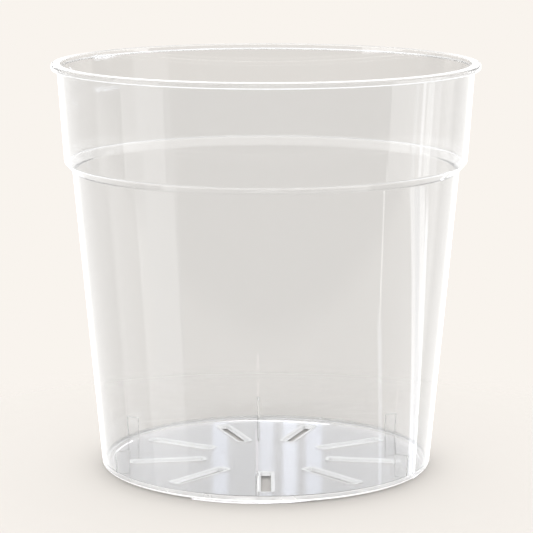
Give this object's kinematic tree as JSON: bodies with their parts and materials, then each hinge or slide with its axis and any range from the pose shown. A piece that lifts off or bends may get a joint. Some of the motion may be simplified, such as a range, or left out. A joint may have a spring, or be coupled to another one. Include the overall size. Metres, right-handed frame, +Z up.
{
  "type": "orchid pot",
  "caption": "Clear tapered orchid pot with a beaded rim, a stepped collar and a flat floor cut with radial drain slots, for growing orchids in bark.",
  "frame": {"origin": "on the pot's axis, in the plane that the feet stand on", "axes": "+Z up along the pot's axis, -Y towards the front, where one drain slot points"},
  "size_m": [0.12, 0.12, 0.1151],
  "materials": {
    "clear_plastic": "clear, glossy, faintly grey moulded plastic"
  },
  "bodies": {
    "root": {"rim_bead": "clear_plastic", "collar_wall": "clear_plastic", "shoulder_step": "clear_plastic", "body_wall": "clear_plastic", "base_ring": "clear_plastic", "slotted_floor": "clear_plastic", "foot_1": "clear_plastic", "foot_2": "clear_plastic", "foot_3": "clear_plastic", "foot_4": "clear_plastic", "stacking_fin_1": "clear_plastic", "stacking_fin_2": "clear_plastic", "stacking_fin_3": "clear_plastic", "stacking_fin_4": "clear_plastic", "stacking_fin_5": "clear_plastic", "stacking_fin_6": "clear_plastic"}
  },
  "joints": []
}
